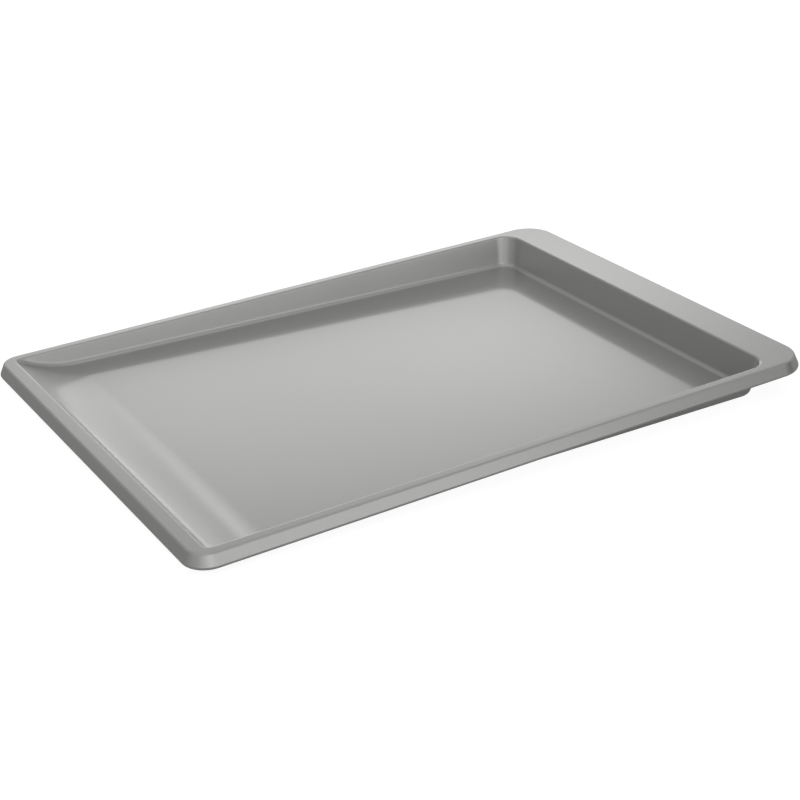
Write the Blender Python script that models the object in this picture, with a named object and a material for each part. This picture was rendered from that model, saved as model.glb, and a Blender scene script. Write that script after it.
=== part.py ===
"""Cookie sheet: a pressed steel tray with three walls, a ramp on the fourth side and a wide flange to hold.

The tray's skirt ends in a hem, which is rolled round a stiffening wire. Both pieces are drawn with the rim
level: x = 0 is the lip, where the ramp meets the flange, and +X points to the handle. Then they are tipped
until the baking surface lies level. Lengths are in metres, and +Z is up.
"""

import math

import bmesh
import bpy
from mathutils import Vector

# Driving dimensions
SHEET_THICKNESS = 0.0007
OPENING_LENGTH = 0.457
OPENING_WIDTH = 0.331
HANDLE_END_DEPTH = 0.0256
LIP_END_DEPTH = 0.0127
WALL_DRAFT_DEGREES = 12.0
RAMP_RADIUS = 0.1
OPENING_CORNER_RADIUS = 0.015
FLOOR_CORNER_RADIUS = 0.011
LIP_OPENING_RADIUS = 0.005
FLOOR_FILLET_RADIUS = 0.004
BEND_INNER_RADIUS = 0.001
SIDE_FLANGE_WIDTH = 0.0075
LIP_FLANGE_WIDTH = 0.0096
HANDLE_FLANGE_WIDTH = 0.0325
LIP_CORNER_RADIUS = 0.0139
HANDLE_CORNER_RADIUS = 0.0231
SKIRT_HEIGHT = 0.01
SKIRT_FLARE_DEGREES = 24.0
HEM_TURN_DEGREES = 270.0
WIRE_DIAMETER = 0.0016
WIRE_CLEARANCE = 0.0003

# How finely the round stretches are divided
CORNER_STEPS = 8
RAMP_STEPS = 8
SIDE_STEPS = 4
BEND_STEPS = 4
HEM_STEPS = 9
WIRE_BEVEL_RESOLUTION = 2
SMOOTH_BELOW_DEGREES = 30.0

# The shortest straight stretches that keep a shallow wall's rings apart
SHORTEST_WALL = 0.0003
SHORTEST_TANGENT = 0.0004
SMALLEST_BEND = 0.0001

# Steps of the two searches for a wall's foot and for its angle
FOOT_STEPS = 8
ANGLE_STEPS = 40

# What follows from the driving dimensions
STEEPEST_WALL = math.radians(90.0 - WALL_DRAFT_DEGREES)
SKIRT_FLARE = math.radians(SKIRT_FLARE_DEGREES)
FLOOR_TILT = math.atan((HANDLE_END_DEPTH - LIP_END_DEPTH) / OPENING_LENGTH)
OUTER_BEND_RADIUS = BEND_INNER_RADIUS + SHEET_THICKNESS
HEM_RADIUS = WIRE_DIAMETER / 2 + WIRE_CLEARANCE + SHEET_THICKNESS
HEM_HEIGHT = HEM_RADIUS - SKIRT_HEIGHT
HEM_OUT = -(HEM_HEIGHT * math.sin(SKIRT_FLARE) + HEM_RADIUS) / math.cos(SKIRT_FLARE)

# The ramp is an arc that leaves the floor tangentially and ends on the lip
LIP_ABOVE_FLOOR = LIP_END_DEPTH * math.cos(FLOOR_TILT)
RAMP_RUN = math.sqrt(LIP_ABOVE_FLOOR * (2 * RAMP_RADIUS - LIP_ABOVE_FLOOR))
RAMP_CENTRE_RISE = RAMP_RADIUS - LIP_ABOVE_FLOOR
RAMP_CENTRE_X = RAMP_RUN * math.cos(FLOOR_TILT) + RAMP_CENTRE_RISE * math.sin(FLOOR_TILT)
RAMP_CENTRE_Z = RAMP_CENTRE_RISE * math.cos(FLOOR_TILT) - RAMP_RUN * math.sin(FLOOR_TILT)
RAMP_FOOT_X = RAMP_RUN * math.cos(FLOOR_TILT) - LIP_ABOVE_FLOOR * math.sin(FLOOR_TILT)

# A wall leans out, so the opening is larger than the floor by its run. Its corners are rounder as well
WALL_RUN = HANDLE_END_DEPTH / math.tan(STEEPEST_WALL) + FLOOR_FILLET_RADIUS * math.tan(STEEPEST_WALL / 2)
CORNER_CLOSING = (OPENING_CORNER_RADIUS - FLOOR_CORNER_RADIUS) / WALL_RUN
FLOOR_MARGIN = FLOOR_CORNER_RADIUS / 2

TRAY_COAT = ("silver_grey_release_coat", (0.42, 0.42, 0.41, 1.0), 0.34, 0.45)
WIRE_STEEL = ("bright_steel_wire", (0.55, 0.55, 0.56, 1.0), 0.3, 1.0)


def floor_height(x):
    """Height of the baking surface or the ramp, measured from the rim."""
    if x < RAMP_FOOT_X:
        return RAMP_CENTRE_Z - math.sqrt(RAMP_RADIUS**2 - (x - RAMP_CENTRE_X) ** 2)
    return -LIP_END_DEPTH - x * math.tan(FLOOR_TILT)


def floor_fall(x):
    """Slope of the baking surface or the ramp, positive where it falls towards the handle."""
    if x < RAMP_FOOT_X:
        return (RAMP_CENTRE_X - x) / math.sqrt(RAMP_RADIUS**2 - (x - RAMP_CENTRE_X) ** 2)
    return math.tan(FLOOR_TILT)


def arc(centre_out, centre_up, radius, first, last, steps):
    """Points on an arc between two angles, as distances out and up."""
    angles = (first + (last - first) * step / steps for step in range(steps + 1))
    return [(centre_out + radius * math.cos(a), centre_up + radius * math.sin(a)) for a in angles]


def wall_section(point, inward):
    """The bent sheet between the rim and the floor, as distances inward and heights.

    The sheet bends down at the opening's edge, runs down a straight wall and bends out onto the floor.
    Where the floor lies so high that the two bends would run into each other, as beside the ramp, the
    wall is less steep. On the lip there is no wall, and the sheet bends only onto the ramp.
    """
    foot = 0.0
    for _ in range(FOOT_STEPS):
        foot = -floor_height(point.x + inward.x * foot) / math.tan(STEEPEST_WALL)
    foot_x = point.x + inward.x * foot
    fall = floor_fall(foot_x) * inward.x
    floor_angle = math.atan(fall)
    depth = max(0.0, -floor_height(foot_x) - foot * fall)

    def tangents(angle):
        upper = max(OUTER_BEND_RADIUS * math.tan(angle / 2), SHORTEST_TANGENT)
        lower = max(FLOOR_FILLET_RADIUS * math.tan((angle - floor_angle) / 2), SHORTEST_TANGENT)
        return upper, lower

    def slant(angle):
        return depth / (math.sin(angle) - math.cos(angle) * fall)

    flattest = floor_angle + SMALLEST_BEND
    angle = STEEPEST_WALL
    if slant(angle) < sum(tangents(angle)) + SHORTEST_WALL:
        low, high = flattest, STEEPEST_WALL
        for _ in range(ANGLE_STEPS):
            angle = (low + high) / 2
            if slant(angle) < sum(tangents(angle)) + SHORTEST_WALL:
                high = angle
            else:
                low = angle
    upper, lower = tangents(angle)
    length = max(slant(angle), upper + lower + SHORTEST_WALL)

    upper_radius = upper / math.tan(angle / 2)
    turn = angle - floor_angle
    lower_radius = lower / math.tan(turn / 2)
    right = math.pi / 2
    top_bend = arc(-upper, -upper_radius, upper_radius, right, right - angle, BEND_STEPS)
    wall_end = length - lower
    centre_in = wall_end * math.cos(angle) + lower_radius * math.sin(angle)
    centre_up = -wall_end * math.sin(angle) + lower_radius * math.cos(angle)
    first = -right - angle
    last = -right - floor_angle
    return top_bend + arc(centre_in, centre_up, lower_radius, first, last, BEND_STEPS)


def skirt_section():
    """The bent sheet from the flange's outer edge to the end of the hem, as distances out and heights."""
    right = math.pi / 2
    turn = right - SKIRT_FLARE
    tangent = OUTER_BEND_RADIUS * math.tan(turn / 2)
    bend = arc(-tangent, -OUTER_BEND_RADIUS, OUTER_BEND_RADIUS, right, right - turn, BEND_STEPS)
    hem_end = SKIRT_FLARE - math.radians(HEM_TURN_DEGREES)
    return bend + arc(HEM_OUT, HEM_HEIGHT, HEM_RADIUS, SKIRT_FLARE, hem_end, HEM_STEPS)


def side_fractions():
    """Places along a straight side from the lip's corner to the handle's, closer together on the ramp."""
    start = LIP_OPENING_RADIUS
    end = OPENING_LENGTH - OPENING_CORNER_RADIUS
    foot = (RAMP_FOOT_X - start) / (end - start)
    ramp = [foot * step / RAMP_STEPS for step in range(1, RAMP_STEPS + 1)]
    flat = [foot + (1 - foot) * step / SIDE_STEPS for step in range(1, SIDE_STEPS)]
    return ramp + flat


def level_direction(degrees):
    return Vector((math.cos(math.radians(degrees)), math.sin(math.radians(degrees)), 0.0))


def outline(margins, lip_radius, handle_radius, handle_closing=1.0):
    """Points and outward directions round a rectangle with rounded corners.

    The margins say how far it stands outside the opening at the lip, at the sides and at the handle. The
    ring starts and ends at the lip, and mirrors itself across y = 0. Where the ring is drawn inward, the
    radius of the corners at the handle shrinks by the distance times their closing.
    """
    lip_margin, side_margin, handle_margin = margins
    half_width = OPENING_WIDTH / 2 + side_margin
    lip_x = lip_radius - lip_margin
    handle_x = OPENING_LENGTH + handle_margin - handle_radius

    def corner(x, radius, first, closing):
        centre = Vector((x, radius - half_width, 0.0))
        diagonal = level_direction(first) + level_direction(first + 90.0)
        outwards = [level_direction(first + 90.0 * step / CORNER_STEPS) for step in range(CORNER_STEPS + 1)]
        return [(centre + radius * outward, diagonal.lerp(outward, closing)) for outward in outwards]

    side = Vector((0.0, -1.0, 0.0))
    half = corner(lip_x, lip_radius, 180.0, 1.0)
    for fraction in side_fractions():
        half.append((Vector((lip_x + fraction * (handle_x - lip_x), -half_width, 0.0)), side))
    half += corner(handle_x, handle_radius, 270.0, handle_closing)
    across = Vector((1.0, -1.0, 1.0))
    return half + [(point * across, outward * across) for point, outward in reversed(half)]


def opening_outline():
    return outline((0.0, 0.0, 0.0), LIP_OPENING_RADIUS, OPENING_CORNER_RADIUS, CORNER_CLOSING)


def flange_outline():
    margins = (LIP_FLANGE_WIDTH, SIDE_FLANGE_WIDTH, HANDLE_FLANGE_WIDTH)
    return outline(margins, LIP_CORNER_RADIUS, HANDLE_CORNER_RADIUS)


def first_ring(mesh, places):
    ring = [mesh.verts.new(place) for place in places]
    for near, far in zip(ring, ring[1:] + ring[:1]):
        mesh.edges.new((near, far))
    return ring


def extrude_ring(mesh, ring, places):
    """Extrudes a ring of edges, and moves the new ring to its places."""
    edges = [mesh.edges.get((near, far)) for near, far in zip(ring, ring[1:] + ring[:1])]
    made = set(bmesh.ops.extrude_edge_only(mesh, edges=edges)["geom"])
    ring = [next(e.other_vert(v) for e in v.link_edges if e.other_vert(v) in made) for v in ring]
    for vertex, place in zip(ring, places):
        vertex.co = place
    return ring


def fill_floor(mesh, ring):
    """Closes the tray with strips across the ramp and one flat face, which gets a margin of its own."""
    last = len(ring) - 1
    strips = CORNER_STEPS + RAMP_STEPS
    for step in range(strips):
        mesh.faces.new((ring[step], ring[step + 1], ring[last - step - 1], ring[last - step]))
    flat = mesh.faces.new(ring[strips : last - strips + 1])
    bmesh.ops.inset_region(mesh, faces=[flat], thickness=FLOOR_MARGIN)
    return flat


def upward(point, direction, place):
    """The point that lies at a section's place, measured along a level direction and up."""
    along, height = place
    return point + direction * along + Vector((0.0, 0.0, height))


def pressed_sheet():
    """The sheet's upper and outer surface, from the floor over the rim to the end of the hem."""
    mesh = bmesh.new()
    walls = [(point, -outward, wall_section(point, -outward)) for point, outward in opening_outline()]
    stations = [
        [upward(point, inward, section[index]) for point, inward, section in walls]
        for index in reversed(range(len(walls[0][2])))
    ]
    edge = flange_outline()
    stations += [[upward(point, outward, place) for point, outward in edge] for place in skirt_section()]

    floor_ring = first_ring(mesh, stations[0])
    ring = floor_ring
    for places in stations[1:]:
        ring = extrude_ring(mesh, ring, places)
    flat = fill_floor(mesh, floor_ring)
    bmesh.ops.recalc_face_normals(mesh, faces=mesh.faces)
    if flat.normal.z < 0:
        bmesh.ops.reverse_faces(mesh, faces=mesh.faces)
    return mesh


def material(name, colour, roughness, metallic):
    made = bpy.data.materials.new(name)
    made.use_nodes = True
    shader = made.node_tree.nodes["Principled BSDF"]
    shader.inputs["Base Color"].default_value = colour
    shader.inputs["Roughness"].default_value = roughness
    shader.inputs["Metallic"].default_value = metallic
    made.diffuse_color = colour
    return made


def add_object(name, data, coat, frame):
    placed = bpy.data.objects.new(name, data)
    placed.parent = frame
    data.materials.append(material(*coat))
    bpy.context.scene.collection.objects.link(placed)
    return placed


def level_frame():
    """The rim's frame, tipped so that the floor is level and moved so that its middle is the origin."""
    frame = bpy.data.objects.new("level_frame", None)
    frame.rotation_euler.y = -FLOOR_TILT
    middle = (OPENING_LENGTH + HANDLE_FLANGE_WIDTH - LIP_FLANGE_WIDTH) / 2
    frame.location.x = HEM_HEIGHT * math.sin(FLOOR_TILT) - middle * math.cos(FLOOR_TILT)
    frame.location.z = LIP_ABOVE_FLOOR + SHEET_THICKNESS
    bpy.context.scene.collection.objects.link(frame)
    return frame


def make_tray(frame):
    data = bpy.data.meshes.new("tray")
    mesh = pressed_sheet()
    mesh.to_mesh(data)
    mesh.free()
    data.shade_smooth()
    data.set_sharp_from_angle(angle=math.radians(SMOOTH_BELOW_DEGREES))
    tray = add_object("tray", data, TRAY_COAT, frame)
    sheet = tray.modifiers.new("sheet", "SOLIDIFY")
    sheet.thickness = SHEET_THICKNESS
    sheet.offset = -1.0
    sheet.use_even_offset = True


def make_rim_wire(frame):
    data = bpy.data.curves.new("rim_wire", "CURVE")
    data.dimensions = "3D"
    data.bevel_depth = WIRE_DIAMETER / 2
    data.bevel_resolution = WIRE_BEVEL_RESOLUTION
    places = [upward(point, outward, (HEM_OUT, HEM_HEIGHT)) for point, outward in flange_outline()]
    loop = data.splines.new("POLY")
    loop.points.add(len(places) - 1)
    for place, spot in zip(places, loop.points):
        spot.co = (*place, 1.0)
    loop.use_cyclic_u = True
    add_object("rim_wire", data, WIRE_STEEL, frame)


def main():
    for leftover in list(bpy.data.objects):
        bpy.data.objects.remove(leftover)
    frame = level_frame()
    make_tray(frame)
    make_rim_wire(frame)


main()
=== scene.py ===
"""Cookie sheet, dressed: the pressed steel sheet with its baked silver-grey coat, on a pale studio floor."""

import math

import bmesh
import bpy
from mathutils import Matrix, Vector


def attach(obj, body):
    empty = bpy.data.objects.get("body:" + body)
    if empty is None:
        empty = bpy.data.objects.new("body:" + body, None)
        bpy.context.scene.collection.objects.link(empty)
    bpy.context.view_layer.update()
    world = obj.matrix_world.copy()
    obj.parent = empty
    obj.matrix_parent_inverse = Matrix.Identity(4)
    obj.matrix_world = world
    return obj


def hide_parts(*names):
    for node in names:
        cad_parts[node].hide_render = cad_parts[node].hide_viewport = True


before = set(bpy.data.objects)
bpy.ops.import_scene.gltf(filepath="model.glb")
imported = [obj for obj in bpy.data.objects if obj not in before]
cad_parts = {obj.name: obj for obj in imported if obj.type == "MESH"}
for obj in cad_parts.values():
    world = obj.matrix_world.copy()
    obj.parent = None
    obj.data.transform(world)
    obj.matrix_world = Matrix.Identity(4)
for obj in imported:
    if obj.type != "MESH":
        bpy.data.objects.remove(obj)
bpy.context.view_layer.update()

# The sheet's dimensions, in metres, as in the CAD model. The opening is the edge where the walls begin
SHEET_THICKNESS = 0.0007
OPENING_LENGTH = 0.457
OPENING_WIDTH = 0.331
HANDLE_END_DEPTH = 0.0256
LIP_END_DEPTH = 0.0127
STEEPEST_WALL = math.radians(78.0)
RAMP_RADIUS = 0.1
OPENING_CORNER_RADIUS = 0.015
FLOOR_CORNER_RADIUS = 0.011
LIP_OPENING_RADIUS = 0.005
FLOOR_FILLET_RADIUS = 0.004
OUTER_BEND_RADIUS = 0.0017
SIDE_FLANGE_WIDTH = 0.0075
LIP_FLANGE_WIDTH = 0.0096
HANDLE_FLANGE_WIDTH = 0.0325
LIP_CORNER_RADIUS = 0.0139
HANDLE_CORNER_RADIUS = 0.0231
SKIRT_HEIGHT = 0.01
SKIRT_FLARE = math.radians(24.0)
HEM_RADIUS = 0.0018
HEM_TURN = math.radians(270.0)

# How finely the round stretches are divided
CORNER_STEPS = 24
RAMP_STEPS = 32
SIDE_STEPS = 6
BEND_STEPS = 8
HEM_STEPS = 24

# The shortest straight stretches, in metres, and the smallest bend, in radians, of a wall that runs out on
# the ramp, so that its rings stay apart
SHORTEST_WALL = 0.0003
SHORTEST_TANGENT = 0.0004
SMALLEST_BEND = 0.0001

# How many times a wall's foot and its angle are worked out again, each time more exactly
FOOT_STEPS = 8
ANGLE_STEPS = 40

# How much the wide faces count in the smooth shading at their bends: 50 is even, and 100 the most
WIDE_FACES_WEIGHT = 100

# What follows from the dimensions
FLOOR_TILT = math.atan((HANDLE_END_DEPTH - LIP_END_DEPTH) / OPENING_LENGTH)
HEM_HEIGHT = HEM_RADIUS - SKIRT_HEIGHT
HEM_OUT = -(HEM_HEIGHT * math.sin(SKIRT_FLARE) + HEM_RADIUS) / math.cos(SKIRT_FLARE)
LIP_ABOVE_FLOOR = LIP_END_DEPTH * math.cos(FLOOR_TILT)
RAMP_RUN = math.sqrt(LIP_ABOVE_FLOOR * (2 * RAMP_RADIUS - LIP_ABOVE_FLOOR))
RAMP_CENTRE_RISE = RAMP_RADIUS - LIP_ABOVE_FLOOR
RAMP_CENTRE_X = RAMP_RUN * math.cos(FLOOR_TILT) + RAMP_CENTRE_RISE * math.sin(FLOOR_TILT)
RAMP_CENTRE_Z = RAMP_CENTRE_RISE * math.cos(FLOOR_TILT) - RAMP_RUN * math.sin(FLOOR_TILT)
RAMP_FOOT_X = RAMP_RUN * math.cos(FLOOR_TILT) - LIP_ABOVE_FLOOR * math.sin(FLOOR_TILT)
WALL_RUN = HANDLE_END_DEPTH / math.tan(STEEPEST_WALL) + FLOOR_FILLET_RADIUS * math.tan(STEEPEST_WALL / 2)
CORNER_CLOSING = (OPENING_CORNER_RADIUS - FLOOR_CORNER_RADIUS) / WALL_RUN
FLOOR_MARGIN = FLOOR_CORNER_RADIUS / 2
MIDDLE = (OPENING_LENGTH + HANDLE_FLANGE_WIDTH - LIP_FLANGE_WIDTH) / 2
LIP_X = HEM_HEIGHT * math.sin(FLOOR_TILT) - MIDDLE * math.cos(FLOOR_TILT)
LIP_Z = LIP_ABOVE_FLOOR + SHEET_THICKNESS

# The release coat: its share of metal flakes, their roughness, and the roughness and refractive index of
# the clear binder over them. Then, in metres, the sizes of its sparkle, of its rougher and smoother patches
# and of the swells in its skin, and the swells' height
FLAKE_SHARE = 0.6
FLAKE_ROUGHNESS = (0.34, 0.36)
BINDER_ROUGHNESS = 0.1
BINDER_INDEX = 1.5
SPARKLE_SIZE = 0.0007
PATCH_SIZE = 0.004
SWELL_SIZE = 0.0025
SWELL_HEIGHT = 0.000004

# The wire: its roughness, how far apart and how deep its die lines are, in metres, and the scale along it
# of the noise that draws them
WIRE_ROUGHNESS = (0.25, 0.4)
DIE_LINE_SPACING = 0.00015
DIE_LINE_DEPTH = 0.000003
DIE_LINE_STRETCH = 0.02

# Nearly all of a noise lies between these two values, and it has this many finer layers
NOISE_LOW = 0.3
NOISE_HIGH = 0.7
NOISE_LAYERS = 2.0

# The paper on the studio's floor, in metres. It lies a little under the tray, so that the two don't touch
PAPER_RADIUS = 6.0
PAPER_SIDES = 96
PAPER_HEIGHT = -0.0003

# The camera, fitted to the sheet's straight edges and corners in the photograph: its place in metres, its
# turns in degrees, its lens and sensor in millimetres, its shift in widths of the picture, and the nearest
# distance that it sees, in metres
CAMERA_PLACE = (-0.5865, -0.9616, 0.5204)
CAMERA_TURNS = (64.576, -0.135, -32.862)
CAMERA_LENS = 73.96
CAMERA_SENSOR = 36.0
CAMERA_SHIFT = -0.05
CAMERA_NEAREST = 0.05


def floor_height(x):
    """Height of the baking surface or the ramp, measured from the rim."""
    if x < RAMP_FOOT_X:
        return RAMP_CENTRE_Z - math.sqrt(RAMP_RADIUS**2 - (x - RAMP_CENTRE_X) ** 2)
    return -LIP_END_DEPTH - x * math.tan(FLOOR_TILT)


def floor_fall(x):
    """Slope of the baking surface or the ramp, positive where it falls towards the handle."""
    if x < RAMP_FOOT_X:
        return (RAMP_CENTRE_X - x) / math.sqrt(RAMP_RADIUS**2 - (x - RAMP_CENTRE_X) ** 2)
    return math.tan(FLOOR_TILT)


def arc(centre_out, centre_up, radius, first, last, steps):
    """Points on an arc between two angles, as distances out and up."""
    angles = (first + (last - first) * step / steps for step in range(steps + 1))
    return [(centre_out + radius * math.cos(a), centre_up + radius * math.sin(a)) for a in angles]


def wall_section(point, inward):
    """The bent sheet from the opening's edge down the wall and out onto the floor, as in the CAD model."""
    foot = 0.0
    for _ in range(FOOT_STEPS):
        foot = -floor_height(point.x + inward.x * foot) / math.tan(STEEPEST_WALL)
    foot_x = point.x + inward.x * foot
    fall = floor_fall(foot_x) * inward.x
    floor_angle = math.atan(fall)
    depth = max(0.0, -floor_height(foot_x) - foot * fall)

    def tangents(angle):
        upper = max(OUTER_BEND_RADIUS * math.tan(angle / 2), SHORTEST_TANGENT)
        lower = max(FLOOR_FILLET_RADIUS * math.tan((angle - floor_angle) / 2), SHORTEST_TANGENT)
        return upper, lower

    def slant(angle):
        return depth / (math.sin(angle) - math.cos(angle) * fall)

    # Where the ramp leaves too little wall for both bends, the wall leans out until they fit
    angle = STEEPEST_WALL
    if slant(angle) < sum(tangents(angle)) + SHORTEST_WALL:
        low, high = floor_angle + SMALLEST_BEND, STEEPEST_WALL
        for _ in range(ANGLE_STEPS):
            angle = (low + high) / 2
            if slant(angle) < sum(tangents(angle)) + SHORTEST_WALL:
                high = angle
            else:
                low = angle
    upper, lower = tangents(angle)
    length = max(slant(angle), upper + lower + SHORTEST_WALL)

    upper_radius = upper / math.tan(angle / 2)
    lower_radius = lower / math.tan((angle - floor_angle) / 2)
    right = math.pi / 2
    top_bend = arc(-upper, -upper_radius, upper_radius, right, right - angle, BEND_STEPS)
    wall_end = length - lower
    centre_in = wall_end * math.cos(angle) + lower_radius * math.sin(angle)
    centre_up = -wall_end * math.sin(angle) + lower_radius * math.cos(angle)
    foot_bend = arc(centre_in, centre_up, lower_radius, -right - angle, -right - floor_angle, BEND_STEPS)
    return top_bend + foot_bend


def skirt_section():
    """The bent sheet from the flange's outer edge to the end of the hem, as distances out and heights."""
    right = math.pi / 2
    turn = right - SKIRT_FLARE
    tangent = OUTER_BEND_RADIUS * math.tan(turn / 2)
    bend = arc(-tangent, -OUTER_BEND_RADIUS, OUTER_BEND_RADIUS, right, right - turn, BEND_STEPS)
    return bend + arc(HEM_OUT, HEM_HEIGHT, HEM_RADIUS, SKIRT_FLARE, SKIRT_FLARE - HEM_TURN, HEM_STEPS)


def side_fractions():
    """Places along a straight side from the lip's corner to the handle's, closer together on the ramp."""
    start = LIP_OPENING_RADIUS
    end = OPENING_LENGTH - OPENING_CORNER_RADIUS
    foot = (RAMP_FOOT_X - start) / (end - start)
    ramp = [foot * step / RAMP_STEPS for step in range(1, RAMP_STEPS + 1)]
    flat = [foot + (1 - foot) * step / SIDE_STEPS for step in range(1, SIDE_STEPS)]
    return ramp + flat


def level_direction(degrees):
    """The level direction at this angle from +X, anticlockwise from above."""
    return Vector((math.cos(math.radians(degrees)), math.sin(math.radians(degrees)), 0.0))


def outline(margins, lip_radius, handle_radius, handle_closing=1.0):
    """Points and outward directions round a rectangle with rounded corners, from the lip round to the lip.

    handle_closing says how far the directions at the handle's corners turn away from the diagonal: with 1
    they are square to the outline, and with less the walls' feet turn a wider corner.
    """
    lip_margin, side_margin, handle_margin = margins
    half_width = OPENING_WIDTH / 2 + side_margin
    lip_x = lip_radius - lip_margin
    handle_x = OPENING_LENGTH + handle_margin - handle_radius

    def corner(x, radius, first, closing):
        centre = Vector((x, radius - half_width, 0.0))
        diagonal = level_direction(first) + level_direction(first + 90.0)
        outwards = [level_direction(first + 90.0 * step / CORNER_STEPS) for step in range(CORNER_STEPS + 1)]
        return [(centre + radius * outward, diagonal.lerp(outward, closing)) for outward in outwards]

    side = Vector((0.0, -1.0, 0.0))
    half = corner(lip_x, lip_radius, 180.0, 1.0)
    for fraction in side_fractions():
        half.append((Vector((lip_x + fraction * (handle_x - lip_x), -half_width, 0.0)), side))
    half += corner(handle_x, handle_radius, 270.0, handle_closing)
    across = Vector((1.0, -1.0, 1.0))
    return half + [(point * across, outward * across) for point, outward in reversed(half)]


def first_ring(mesh, places):
    """A closed ring of vertices and edges through these places."""
    ring = [mesh.verts.new(place) for place in places]
    for near, far in zip(ring, ring[1:] + ring[:1]):
        mesh.edges.new((near, far))
    return ring


def extrude_ring(mesh, ring, places):
    """Extrudes a ring of edges, and moves the new ring to its places."""
    edges = [mesh.edges.get((near, far)) for near, far in zip(ring, ring[1:] + ring[:1])]
    made = set(bmesh.ops.extrude_edge_only(mesh, edges=edges)["geom"])
    ring = [next(e.other_vert(v) for e in v.link_edges if e.other_vert(v) in made) for v in ring]
    for vertex, place in zip(ring, places):
        vertex.co = place
    return ring


def fill_floor(mesh, ring):
    """Closes the tray with strips across the ramp and one flat face, which gets a margin of its own."""
    last = len(ring) - 1
    strips = CORNER_STEPS + RAMP_STEPS
    for step in range(strips):
        mesh.faces.new((ring[step], ring[step + 1], ring[last - step - 1], ring[last - step]))
    flat = mesh.faces.new(ring[strips : last - strips + 1])
    bmesh.ops.inset_region(mesh, faces=[flat], thickness=FLOOR_MARGIN)
    return flat


def levelled(point):
    """The place of a point of the rim's drawing in the shared frame, where the floor lies level."""
    turn = FLOOR_TILT
    x = point.x * math.cos(turn) - point.z * math.sin(turn) + LIP_X
    z = point.x * math.sin(turn) + point.z * math.cos(turn) + LIP_Z
    return Vector((x, point.y, z))


def section_place(point, direction, place):
    """Where a place in a section stands, with the section set upright on a point of the rim."""
    along, height = place
    return levelled(point + direction * along + Vector((0.0, 0.0, height)))


def keep_order(mesh):
    """Puts the edges and faces in their vertices' order, because extruding makes them in another each run."""
    mesh.verts.index_update()
    count = len(mesh.verts)

    def rank(element):
        numbers = [vertex.index for vertex in element.verts]
        return min(numbers) * count + max(numbers)

    mesh.edges.sort(key=rank)
    mesh.faces.sort(key=rank)


def pressed_sheet():
    """The sheet's upper and outer surface, from the floor over the rim to the end of the hem."""
    mesh = bmesh.new()
    opening = outline((0.0, 0.0, 0.0), LIP_OPENING_RADIUS, OPENING_CORNER_RADIUS, CORNER_CLOSING)
    walls = [(point, -outward, wall_section(point, -outward)) for point, outward in opening]
    stations = [
        [section_place(point, inward, section[index]) for point, inward, section in walls]
        for index in reversed(range(len(walls[0][2])))
    ]
    margins = (LIP_FLANGE_WIDTH, SIDE_FLANGE_WIDTH, HANDLE_FLANGE_WIDTH)
    edge = outline(margins, LIP_CORNER_RADIUS, HANDLE_CORNER_RADIUS)
    skirt = skirt_section()
    stations += [[section_place(point, outward, place) for point, outward in edge] for place in skirt]

    floor_ring = first_ring(mesh, stations[0])
    ring = floor_ring
    for places in stations[1:]:
        ring = extrude_ring(mesh, ring, places)
    flat = fill_floor(mesh, floor_ring)
    bmesh.ops.recalc_face_normals(mesh, faces=mesh.faces)
    if flat.normal.z < 0:
        bmesh.ops.reverse_faces(mesh, faces=mesh.faces)
    keep_order(mesh)
    return mesh


def linear(hex_colour):
    """A hex sRGB colour as linear light, with full opacity."""
    values = [int(hex_colour[i : i + 2], 16) / 255 for i in (1, 3, 5)]
    return tuple(v / 12.92 if v <= 0.04045 else ((v + 0.055) / 1.055) ** 2.4 for v in values) + (1.0,)


def add_node(tree, kind, settings=(), links=(), **values):
    """Adds a shader node: its settings, its unlinked sockets' values, and its linked sockets."""
    node = tree.nodes.new(kind)
    for name, value in dict(settings).items():
        setattr(node, name, value)
    for name, value in values.items():
        node.inputs[name.replace("_", " ")].default_value = value
    for name, source in dict(links).items():
        tree.links.new(source, node.inputs[name])
    return node


def combined(tree, operation, *numbers):
    """The sum, the product or the larger of two numbers, each a socket or a plain number."""
    node = add_node(tree, "ShaderNodeMath", {"operation": operation})
    for socket, number in zip(node.inputs, numbers):
        if isinstance(number, float):
            socket.default_value = number
        else:
            tree.links.new(number, socket)
    return node.outputs["Value"]


def looked_at(tree):
    """A number that is 1 for what the camera sees, also through glass, and 0 for mirror images and light."""
    path = add_node(tree, "ShaderNodeLightPath").outputs
    return combined(tree, "MAXIMUM", path["Is Camera Ray"], path["Is Transmission Ray"])


def noise(tree, place, size):
    """A noise of the given size in metres."""
    made = add_node(tree, "ShaderNodeTexNoise", (), {"Vector": place}, Scale=1.0 / size, Detail=NOISE_LAYERS)
    return made.outputs["Fac"]


def grey_mottle(tree, place, size, darker, lighter):
    """A noise of the given size in metres, as a colour between two greys that lie close together."""
    shades = add_node(tree, "ShaderNodeValToRGB", (), {"Fac": noise(tree, place, size)})
    dark_end, light_end = shades.color_ramp.elements
    dark_end.position = NOISE_LOW
    dark_end.color = linear(darker)
    light_end.position = NOISE_HIGH
    light_end.color = linear(lighter)
    return shades.outputs["Color"]


def uneven(tree, place, size, low, high):
    """A noise of the given size in metres, as a number between low and high."""
    spread = {"From_Min": NOISE_LOW, "From_Max": NOISE_HIGH, "To_Min": low, "To_Max": high}
    value = add_node(tree, "ShaderNodeMapRange", (), {"Value": noise(tree, place, size)}, **spread)
    return value.outputs["Result"]


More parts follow.
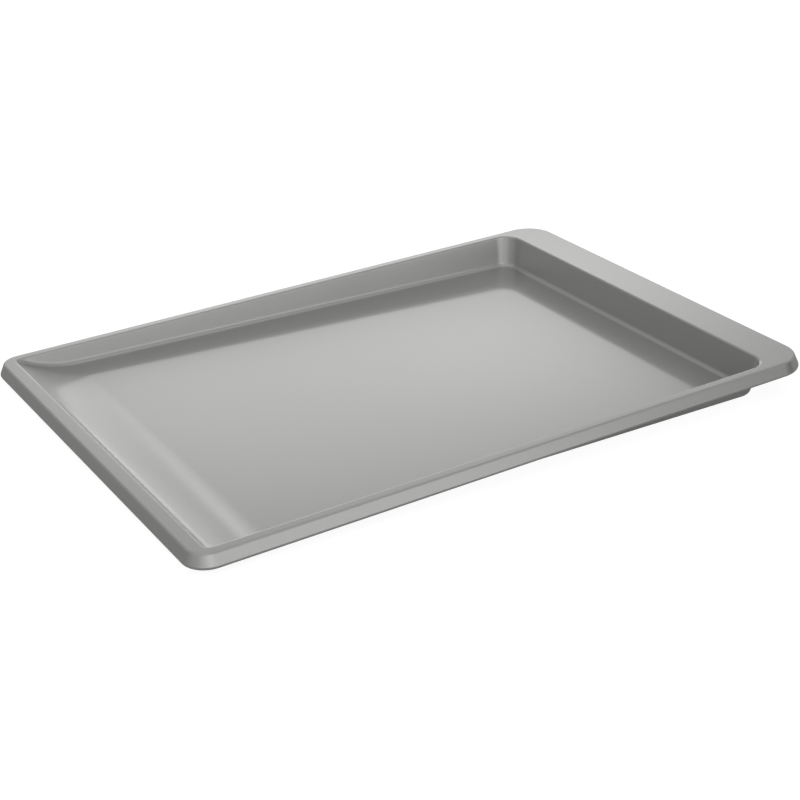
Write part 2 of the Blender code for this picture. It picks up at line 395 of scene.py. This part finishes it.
def release_coat():
    """Silver-grey release coat: aluminium flakes in a clear binder, sprayed on pressed steel and baked.

    The flakes give the eye a broad satin sheen with a fine sparkle. The binder's smooth skin lays a clear
    but faint mirror image over it, which grows towards a flat angle of view.
    """
    made = bpy.data.materials.new("silver_grey_release_coat")
    made.use_nodes = True
    tree = made.node_tree
    place = add_node(tree, "ShaderNodeTexCoord").outputs["Object"]
    shader = tree.nodes["Principled BSDF"]
    shader.inputs["Metallic"].default_value = FLAKE_SHARE
    shader.inputs["Coat Weight"].default_value = 1.0
    shader.inputs["Coat Roughness"].default_value = BINDER_ROUGHNESS
    shader.inputs["Coat IOR"].default_value = BINDER_INDEX

    # The flakes are about 0.03 mm across, too fine to show here, so their sparkle is drawn 0.7 mm across
    flakes = grey_mottle(tree, place, SPARKLE_SIZE, "#abaca9", "#afafad")
    tree.links.new(flakes, shader.inputs["Base Color"])
    tree.links.new(uneven(tree, place, PATCH_SIZE, *FLAKE_ROUGHNESS), shader.inputs["Roughness"])

    # Sprayed and baked coats dry with a skin like orange peel: swells 2.5 mm across and 0.004 mm high
    swells = uneven(tree, place, SWELL_SIZE, 0.0, 1.0)
    skin = add_node(tree, "ShaderNodeBump", (), {"Height": swells}, Strength=1.0, Distance=SWELL_HEIGHT)
    tree.links.new(skin.outputs["Normal"], shader.inputs["Coat Normal"])
    return made


def drawn_wire():
    """Bright steel wire, pulled cold through a die and left bare.

    It gives the eye a clear metal with faint lines along its length, from scratches in the die.
    """
    made = bpy.data.materials.new("bright_drawn_steel_wire")
    made.use_nodes = True
    tree = made.node_tree
    place = add_node(tree, "ShaderNodeTexCoord").outputs["Object"]
    shader = tree.nodes["Principled BSDF"]
    shader.inputs["Metallic"].default_value = 1.0

    # Die lines are about 0.02 mm apart. They are drawn 0.15 mm apart, and stretched along the wire
    stretched = add_node(tree, "ShaderNodeMapping", (), {"Vector": place})
    stretched.inputs["Scale"].default_value = (DIE_LINE_STRETCH, DIE_LINE_STRETCH, 1.0)
    lines = stretched.outputs["Vector"]
    steel = grey_mottle(tree, lines, DIE_LINE_SPACING, "#b9babb", "#cccdce")
    tree.links.new(steel, shader.inputs["Base Color"])
    tree.links.new(uneven(tree, lines, DIE_LINE_SPACING, *WIRE_ROUGHNESS), shader.inputs["Roughness"])
    grooves = uneven(tree, lines, DIE_LINE_SPACING, 0.0, 1.0)
    relief = add_node(tree, "ShaderNodeBump", (), {"Height": grooves}, Strength=1.0, Distance=DIE_LINE_DEPTH)
    tree.links.new(relief.outputs["Normal"], shader.inputs["Normal"])
    return made


def make_tray(coat):
    """The tray: the drawn surface, with the sheet's thickness on its lower side."""
    data = bpy.data.meshes.new("pressed_tray")
    mesh = pressed_sheet()
    mesh.to_mesh(data)
    mesh.free()
    data.shade_smooth()
    data.materials.append(coat)
    tray = bpy.data.objects.new("pressed_tray", data)
    bpy.context.scene.collection.objects.link(tray)
    sheet = tray.modifiers.new("sheet", "SOLIDIFY")
    sheet.thickness = SHEET_THICKNESS
    sheet.offset = -1.0
    sheet.use_even_offset = True
    shading = tray.modifiers.new("shading", "WEIGHTED_NORMAL")
    shading.keep_sharp = True
    shading.weight = WIDE_FACES_WEIGHT
    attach(tray, "root")
    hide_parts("tray")
    return tray


# The studio: grey walls and ceiling, with soft lights and cards at some directions from the tray. Each has
# its azimuth, where 0 is +Y and 90 is +X, its elevation, half width and half height, and what it adds or
# takes. The camera looks from azimuth 213. The skirts of the real tray mirror a dark floor, so in the coat
# the floor glows only a little
WALLS = 0.42
CEILING = 0.46
FLOOR_SEEN_IN_METAL = 0.13
LIGHTS_AND_CARDS = (
    # The backdrop: its brightest patch, its glow low down, its upper edge, the dimmer band between them, and
    # its lit foot, which gleams on the lip
    (35.5, 22.8, 0.19, 0.07, 0.86),
    (29.0, 10.5, 0.43, 0.39, 2.25),
    (30.5, 25.4, 0.34, 0.10, 0.82),
    (32.0, 12.5, 0.28, 0.36, -1.7),
    (31.5, 0.8, 0.42, 0.055, 1.7),
    # The wide softbox behind the camera, its bright right edge, the light at its foot, which the back wall
    # mirrors, and the black card right of it
    (191.0, 16.0, 1.13, 0.56, 1.15),
    (151.0, 12.0, 0.22, 0.55, 0.72),
    (157.0, 2.0, 0.40, 0.16, 0.8),
    (127.0, 10.0, 0.45, 0.50, -1.0),
    # The grey card on the left, the soft light next to it, and the soft light overhead
    (305.0, 9.0, 0.60, 0.35, -0.23),
    (268.0, 28.0, 0.60, 0.45, 0.35),
    (0.0, 90.0, 0.80, 0.60, 0.5),
    # The upright strip light that gleams on the near corner, the small lamp above it that the inner corner
    # mirrors as a spot, and the black card below both
    (188.0, 16.0, 0.13, 0.22, 0.5),
    (199.0, 34.0, 0.10, 0.07, 7.0),
    (203.0, 0.0, 0.35, 0.22, -1.2),
)


def studio_floor():
    """White paper under the tray. The camera sees it white, and the tray's soft shadow on it stays."""
    place = (0.0, 0.0, PAPER_HEIGHT)
    bpy.ops.mesh.primitive_circle_add(
        vertices=PAPER_SIDES, radius=PAPER_RADIUS, fill_type="NGON", location=place
    )
    floor = bpy.context.object
    floor.name = "studio_floor"
    made = bpy.data.materials.new("studio_paper")
    made.use_nodes = True
    tree = made.node_tree
    tree.nodes.clear()
    mirrored = add_node(tree, "ShaderNodeLightPath").outputs["Is Glossy Ray"]
    seen_in_metal = combined(tree, "MULTIPLY", mirrored, FLOOR_SEEN_IN_METAL)
    shown = combined(tree, "MAXIMUM", looked_at(tree), seen_in_metal)
    glow = add_node(tree, "ShaderNodeEmission", (), {"Strength": shown}, Color=linear("#f6f6f6"))

    # The paper itself is white for the light that falls on the tray from it, and darker where it is seen
    darker = combined(tree, "MAXIMUM", shown, mirrored)
    shade = add_node(tree, "ShaderNodeMix", {"data_type": "RGBA"}, {"Factor": darker})
    shade.inputs["A"].default_value = linear("#f2f2f0")
    shade.inputs["B"].default_value = linear("#808080")
    paper = add_node(tree, "ShaderNodeBsdfDiffuse", (), {"Color": shade.outputs["Result"]})
    both = add_node(tree, "ShaderNodeAddShader", (), {0: paper.outputs["BSDF"], 1: glow.outputs["Emission"]})
    add_node(tree, "ShaderNodeOutputMaterial", (), {"Surface": both.outputs["Shader"]})
    floor.data.materials.append(made)


def studio_direction(azimuth, elevation):
    """The direction from the tray to a light or a card."""
    azimuth = math.radians(azimuth)
    rise = math.radians(elevation)
    level = Vector((math.sin(azimuth), math.cos(azimuth), 0.0))
    return level * math.cos(rise) + Vector((0.0, 0.0, math.sin(rise)))


def studio_light():
    """The studio as a world: white where the camera looks, and with its lights and cards for all the rest."""
    world = bpy.data.worlds.new("studio")
    bpy.context.scene.world = world
    world.use_nodes = True
    tree = world.node_tree
    tree.nodes.clear()
    looking = add_node(tree, "ShaderNodeTexCoord").outputs["Generated"]
    height = add_node(tree, "ShaderNodeSeparateXYZ", (), {"Vector": looking}).outputs["Z"]
    room = add_node(tree, "ShaderNodeMapRange", (), {"Value": height}, To_Min=WALLS, To_Max=CEILING)
    room = room.outputs["Result"]

    # Each light is full at its middle and fades out to its edge, where the mapped distance is 1
    for azimuth, elevation, width, tallness, strength in LIGHTS_AND_CARDS:
        place = add_node(tree, "ShaderNodeMapping", {"vector_type": "TEXTURE"}, {"Vector": looking})
        place.inputs["Location"].default_value = studio_direction(azimuth, elevation)
        place.inputs["Rotation"].default_value = (0.0, 0.0, -math.radians(azimuth))
        place.inputs["Scale"].default_value = (width, width, tallness)
        offset = {0: place.outputs["Vector"]}
        away = add_node(tree, "ShaderNodeVectorMath", {"operation": "LENGTH"}, offset).outputs["Value"]
        soft = {"interpolation_type": "SMOOTHSTEP"}
        light = add_node(tree, "ShaderNodeMapRange", soft, {"Value": away}, To_Min=strength, To_Max=0.0)
        room = combined(tree, "ADD", room, light.outputs["Result"])

    # Cards can't take more light than there is
    lit = {"Factor": looked_at(tree), "A": combined(tree, "MAXIMUM", room, 0.0)}
    seen = add_node(tree, "ShaderNodeMix", {"data_type": "FLOAT"}, lit, B=1.0).outputs["Result"]
    background = add_node(tree, "ShaderNodeBackground", (), {"Strength": seen}, Color=linear("#ffffff"))
    add_node(tree, "ShaderNodeOutputWorld", (), {"Surface": background.outputs["Background"]})


def photograph_camera():
    """The camera, which stands where the photograph's stood."""
    data = bpy.data.cameras.new("camera")
    data.sensor_width = CAMERA_SENSOR
    data.lens = CAMERA_LENS
    data.shift_x = CAMERA_SHIFT
    data.clip_start = CAMERA_NEAREST
    camera = bpy.data.objects.new("camera", data)
    camera.location = CAMERA_PLACE
    camera.rotation_euler = [math.radians(turn) for turn in CAMERA_TURNS]
    bpy.context.scene.collection.objects.link(camera)
    bpy.context.scene.camera = camera


def main():
    make_tray(release_coat())
    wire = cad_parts["rim_wire"]
    wire.material_slots[0].material = drawn_wire()
    studio_floor()
    studio_light()
    photograph_camera()
    bpy.context.scene.view_settings.view_transform = "Standard"


main()
